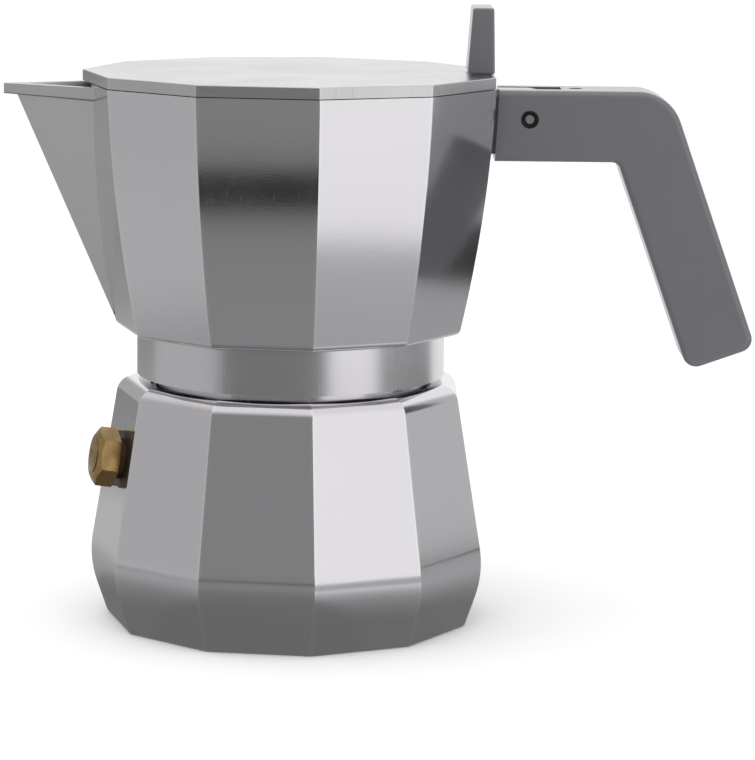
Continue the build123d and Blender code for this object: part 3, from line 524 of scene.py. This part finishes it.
def wind_thread(name, root, tip, low, turns):
    """A rib from the root radius to the tip radius, starting at the height low."""
    bpy.ops.object.select_all(action="DESELECT")
    bpy.ops.mesh.primitive_plane_add(size=1.0, location=((root + tip) / 2, 0, low),
                                     rotation=(math.pi / 2, 0, 0))
    rib = bpy.context.object
    rib.name = name
    rib.scale = (abs(tip - root), 2 * RIB_HALF, 1.0)
    bpy.ops.object.transform_apply(location=True, rotation=True, scale=True)
    bpy.ops.object.mode_set(mode="EDIT")
    bpy.ops.mesh.select_all(action="DESELECT")
    bpy.ops.mesh.select_mode(type="VERT")
    bpy.ops.object.mode_set(mode="OBJECT")
    for vertex in rib.data.vertices:
        vertex.select = near(vertex.co.x, tip)
    bpy.ops.object.mode_set(mode="EDIT")
    bpy.ops.transform.resize(value=(1, 1, RIB_TIP), center_override=(tip, 0, low))
    bpy.ops.mesh.select_all(action="SELECT")
    bpy.ops.mesh.delete(type="ONLY_FACE")
    bpy.ops.object.mode_set(mode="OBJECT")
    winding = rib.modifiers.new("winding", "SCREW")
    winding.axis = "Z"
    winding.angle = turns * math.tau
    winding.screw_offset = turns * PITCH
    winding.steps = winding.render_steps = round(turns * TURN_STEPS)
    bpy.ops.object.modifier_apply(modifier="winding")
    bpy.ops.object.mode_set(mode="EDIT")
    bpy.ops.mesh.select_all(action="SELECT")
    bpy.ops.mesh.remove_doubles(threshold=1e-6)
    bpy.ops.mesh.fill_holes(sides=4)
    bpy.ops.mesh.select_all(action="SELECT")
    bpy.ops.mesh.normals_make_consistent(inside=False)
    bpy.ops.object.mode_set(mode="OBJECT")
    bpy.ops.object.shade_smooth_by_angle(angle=math.radians(35))
    rib.data.materials.append(satin)
    print(name, "faces:", len(rib.data.polygons))
    return rib


# %% Neck thread and collar thread
THREAD_DROP = 0.0072           # from the top of the neck to its first turn
neck_thread = wind_thread("neck_thread", root=0.0331, tip=0.0341, low=neck_top - THREAD_DROP,
                          turns=2.0)
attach(neck_thread, "boiler")
collar_thread = wind_thread("collar_thread", root=0.0346, tip=0.0337,
                            low=neck_top - THREAD_DROP + PITCH / 2, turns=1.5)
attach(collar_thread, "chamber")

# %% [markdown]
# ## Painted shade where the spout meets the wall
#
# The spout is a separate casting, fixed to the wall. Along both sides, where the spout
# meets the wall, a dark rod is laid in the crease as painted shade. Each rod is thin,
# drawn in towards its foot. What is left is short, and all but its lowest one or two
# millimetres lies inside the wall.

# %% Painted shade lines along the spout
# Painted shade: a near-black metal for rods that stand in for the shade in the crease where the
# spout meets the wall.
crease_shade_metal = metal("painted_crease_shade", colour=(0.10, 0.095, 0.10), dark_colour=(0.05, 0.05, 0.055),
               roughness=0.55, spread=0.1, stretch=(900.0, 900.0, 900.0), scratch=0.3,
               worn=0.0, bump=0.3)
LINE_TOP = Vector((-0.04706, -0.01322, 0.1309))
LINE_FOOT = Vector((-0.04340, -0.0003, 0.0750))
LINE_RADIUS = 0.00030
LINE_SHARE = 0.3               # what is left of the rod once it is drawn in


def crease_shade_rod(name, top, foot):
    along = foot - top
    bpy.ops.object.select_all(action="DESELECT")
    bpy.ops.mesh.primitive_cylinder_add(
        vertices=12, radius=LINE_RADIUS, depth=along.length, location=(top + foot) / 2,
        rotation=along.to_track_quat("Z", "Y").to_euler())
    line = bpy.context.object
    line.name = name
    bpy.ops.object.transform_apply(location=True, rotation=True, scale=True)
    bpy.ops.object.mode_set(mode="EDIT")
    bpy.ops.mesh.select_all(action="SELECT")
    bpy.ops.transform.resize(value=(LINE_SHARE, LINE_SHARE, LINE_SHARE), center_override=foot)
    bpy.ops.mesh.subdivide(number_cuts=1)
    bpy.ops.mesh.normals_make_consistent(inside=False)
    bpy.ops.object.mode_set(mode="OBJECT")
    bpy.ops.object.shade_smooth_by_angle(angle=math.radians(40))
    line.data.materials.append(crease_shade_metal)
    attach(line, "chamber")
    return line


for side in (1, -1):
    mirror = Vector((1, side, 1))
    line = crease_shade_rod("crease_shade_rod_front" if side == 1 else "crease_shade_rod_back",
                       LINE_TOP * mirror, LINE_FOOT * mirror)
    length = LINE_SHARE * (LINE_TOP - LINE_FOOT).length
    print(line.name, "length in mm:", round(1000 * length, 1))

# %% [markdown]
# ## Studio
#
# A plain pale floor runs on without an edge. Polished metal shows whatever stands around
# it, so the room matters as much as the lamps. White and dark cards placed about a pot
# give each facet its own tone. Here the sky of the scene and a glowing ring on the floor
# do that job: the ring is a painted reflection, and its dark tones next to the pot paint
# the pot's shadow on the floor. Only mirror images see them, and everything else sees an
# even white room.

# %% Floor
FLOOR_RADIUS, FLOOR_SIDES = 12.0, 96
bpy.ops.object.select_all(action="DESELECT")
bpy.ops.mesh.primitive_circle_add(vertices=FLOOR_SIDES, radius=FLOOR_RADIUS, fill_type="NGON")
floor = bpy.context.object
floor.name = "floor"
floor_finish = bpy.data.materials.new("floor_finish")
floor_finish.use_nodes = True
floor_shader = floor_finish.node_tree.nodes["Principled BSDF"]
floor_shader.inputs["Base Color"].default_value = (0.93, 0.93, 0.93, 1)
floor_shader.inputs["Roughness"].default_value = 0.9
floor_shader.inputs["Specular IOR Level"].default_value = 0.0
floor.data.materials.append(floor_finish)
floor.visible_glossy = False
print("floor radius in m:", FLOOR_RADIUS)

# %% Six directions around the pot, and the tone that each one has on the floor and above it
FAR = 0.70                     # past this distance the last floor tone goes on
SECTOR_FADE = 0.012            # in turns, to each side of a sector's start
# Each sector: its start in turns, its tone above the floor, and its floor tones by distance in m.
# The low floor tones next to the pot are painted shadow seen in the metal.
sectors = {
    "left": (0.93, 0.47, [(0.055, 0.18), (0.08, 0.27), (0.10, 0.35), (0.13, 0.42), (0.17, 0.36),
                          (0.22, 0.46), (0.26, 0.50), (0.60, 0.47)]),
    "camera": (0.11, 0.26, [(0.055, 0.17), (0.10, 0.20), (0.15, 0.27), (0.29, 0.25),
                            (0.325, 0.18), (0.355, 0.025), (0.43, 0.030), (0.47, 0.22),
                            (0.60, 0.25)]),
    "front_right": (0.325, 0.97, [(0.055, 0.18), (0.08, 0.30), (0.10, 0.44), (0.125, 0.70),
                                  (0.15, 0.42), (0.21, 0.45), (0.265, 0.50), (0.315, 0.95),
                                  (0.60, 0.98)]),
    "right": (0.435, 0.54, [(0.055, 0.19), (0.08, 0.34), (0.10, 0.40), (0.28, 0.38),
                            (0.31, 0.045), (0.415, 0.04), (0.44, 0.40), (0.60, 0.54)]),
    "behind": (0.60, 0.98, [(0.055, 0.25), (0.10, 0.5), (0.20, 0.8), (0.60, 0.95)]),
    "behind_left": (0.80, 0.43, [(0.055, 0.30), (0.15, 0.50), (0.25, 0.52), (0.30, 0.44),
                                 (0.38, 0.32), (0.60, 0.27)]),
}


def around(tree, x, y):
    """0 at -X, 0.25 at -Y, 0.5 at +X, 0.75 at +Y."""
    return maths(tree, "MULTIPLY_ADD", maths(tree, "ARCTAN2", y, x), 1 / math.tau, 0.5)


def by_sector(tree, turn, tone_of):
    """Joins the six tones, each one fading into the next over a few degrees."""
    first, *others = sectors
    mixed = tone_of(first)
    for name in others + [first]:
        start = sectors[name][0]
        share = ramp(tree, turn, [(start - SECTOR_FADE, 0.0), (start + SECTOR_FADE, 1.0)],
                     "EASE")
        mixed = blend_colours(tree, share, mixed, tone_of(name))
    return mixed


# %% Painted reflection: a glowing ring of tones on the floor, for mirror images only
UNDER_FLOOR = -0.0004
bpy.ops.mesh.primitive_circle_add(vertices=FLOOR_SIDES, radius=FLOOR_RADIUS, fill_type="NGON",
                                  location=(0, 0, UNDER_FLOOR))
painted_floor_reflection = bpy.context.object
painted_floor_reflection.name = "painted_floor_reflection"
painted_reflection_finish = bpy.data.materials.new("painted_floor_reflection_glow")
painted_reflection_finish.use_nodes = True
tree = painted_reflection_finish.node_tree
tree.nodes.clear()
split = add(tree, "ShaderNodeSeparateXYZ",
            {"Vector": add(tree, "ShaderNodeTexCoord").outputs["Object"]})
x, y = split.outputs["X"], split.outputs["Y"]
away = maths(tree, "SQRT", maths(tree, "ADD", maths(tree, "MULTIPLY", x, x),
                                 maths(tree, "MULTIPLY", y, y)))
reach = maths(tree, "DIVIDE", away, FAR)
LAST_STOP = 0.98               # just inside the end of the ramp


def floor_tone(name):
    steps = sectors[name][2]
    stops = [(place / FAR, tone) for place, tone in steps]
    return ramp(tree, reach, stops + [(LAST_STOP, steps[-1][1])])


# Painted reflection: the disc glows with these tones, and only mirror images see it.
glow = add(tree, "ShaderNodeEmission", {"Color": by_sector(tree, around(tree, x, y), floor_tone)})
add(tree, "ShaderNodeOutputMaterial", {"Surface": glow.outputs[0]})
painted_floor_reflection.data.materials.append(painted_reflection_finish)
painted_floor_reflection.visible_camera = False
painted_floor_reflection.visible_diffuse = False
painted_floor_reflection.visible_shadow = False
painted_floor_reflection.visible_transmission = False
print("floor tones change out to", FAR, "m")

# %% Room: tones for mirror images, white for the rest
CEILING_TONE = (0.85, 0.85, 0.85)
EVEN_STRENGTH = 1.12
world = bpy.data.worlds.new("room")
bpy.context.scene.world = world
world.use_nodes = True
tree = world.node_tree
tree.nodes.clear()
split = add(tree, "ShaderNodeSeparateXYZ",
            {"Vector": add(tree, "ShaderNodeTexCoord").outputs["Generated"]})
turn = around(tree, split.outputs["X"], split.outputs["Y"])


def room_tone(name):
    value = sectors[name][1]
    return (value, value, value)


tones = by_sector(tree, turn, room_tone)
overhead = ramp(tree, split.outputs["Z"], [(0.45, 0.0), (0.85, 1.0)], "EASE")
mirrored = blend_colours(tree, overhead, tones, CEILING_TONE)
room = add(tree, "ShaderNodeBackground", {"Color": mirrored, "Strength": 1.0})
even = add(tree, "ShaderNodeBackground", {"Color": (1.0, 1.0, 1.0, 1), "Strength": EVEN_STRENGTH})
seen = add(tree, "ShaderNodeLightPath")
choose = add(tree, "ShaderNodeMixShader",
             {0: seen.outputs["Is Glossy Ray"], 1: even.outputs[0], 2: room.outputs[0]})
add(tree, "ShaderNodeOutputWorld", {"Surface": choose.outputs[0]})
print("room tones:", {name: sector[1] for name, sector in sectors.items()})

# %% One large soft lamp overhead, towards the front left
SOFTBOX_SIZE = 1.2
softbox_data = bpy.data.lights.new("softbox", "AREA")
softbox_data.shape = "RECTANGLE"
softbox_data.size = SOFTBOX_SIZE
softbox_data.size_y = SOFTBOX_SIZE
softbox_data.energy = 4.0
softbox = bpy.data.objects.new("softbox", softbox_data)
softbox.location = (-0.15, -0.2, 1.2)
middle = (cad_box[0] + cad_box[1]) / 2
softbox.rotation_euler = (middle - softbox.location).to_track_quat("-Z", "Y").to_euler()
softbox.visible_glossy = False
bpy.context.scene.collection.objects.link(softbox)
print("softbox power in W:", softbox_data.energy)

# %% [markdown]
# ## Camera
#
# The pot is seen from the side, a little from above, through a long lens, which keeps
# its upright edges nearly parallel.

# %% Camera
camera_data = bpy.data.cameras.new("camera")
camera_data.lens = 159.82
camera_data.sensor_width = 36.0
camera = bpy.data.objects.new("camera", camera_data)
camera.location = (0.0175, -0.8207, 0.1957)
yaw, pitch, roll = -0.0048, 0.1649, 0.0113
camera.matrix_world = (Matrix.Translation(camera.location) @ Matrix.Rotation(yaw, 4, "Z")
                       @ Matrix.Rotation(math.pi / 2 - pitch, 4, "X")
                       @ Matrix.Rotation(roll, 4, "Z"))
bpy.context.scene.collection.objects.link(camera)
bpy.context.scene.camera = camera
bpy.context.scene.view_settings.view_transform = "Standard"
print("camera at", [round(v, 3) for v in camera.location])
